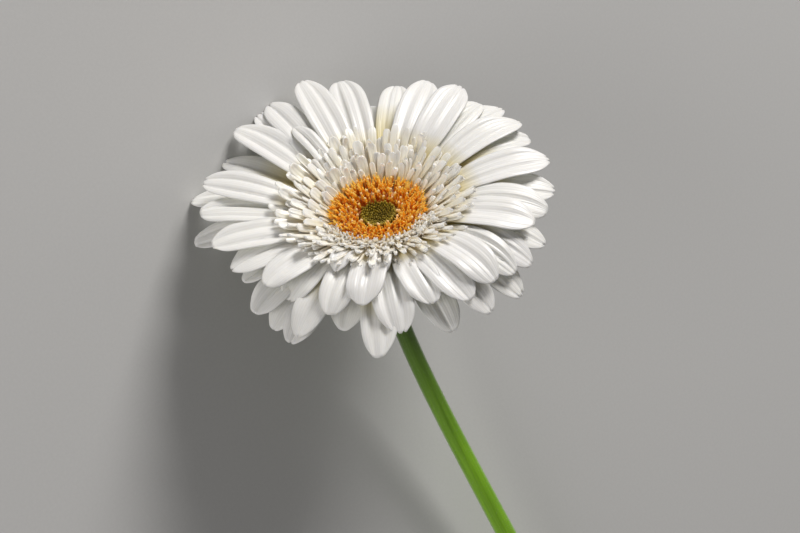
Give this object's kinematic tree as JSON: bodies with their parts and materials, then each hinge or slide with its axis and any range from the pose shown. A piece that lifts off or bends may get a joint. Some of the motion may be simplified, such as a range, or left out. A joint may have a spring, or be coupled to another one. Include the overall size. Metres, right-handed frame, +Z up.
{
  "type": "cut gerbera flower",
  "caption": "Single cut gerbera lying down: a white daisy-like head with an orange and olive disc, leaning on its petals, on a smooth leafless green stem.",
  "frame": {"origin": "centre of the bounding box at the level of the surface that the flower lies on", "axes": "+Z up from the surface, +Y along the stem from the head to its cut end, +X to the right when looking from the head along the stem"},
  "size_m": [0.1094, 0.3347, 0.0812],
  "materials": {
    "stem": "smooth green stem with a satin sheen and fine pale hairs",
    "bracts": "matt green pointed bracts with pale hairy edges",
    "petals": "thin white petals, satin, ribbed along their length, faintly see-through, yellow-green at the base",
    "small_petals": "narrow cream-white florets with rounded glossy ends",
    "disc_orange": "bright orange florets, satin",
    "disc_olive": "matt olive-green rounded buds"
  },
  "bodies": {
    "root": {"stem": "stem", "involucre": "bracts", "ray_florets": "petals", "trans_florets": "small_petals", "disc_florets": "disc_orange", "disc_buds": "disc_olive"}
  },
  "joints": []
}
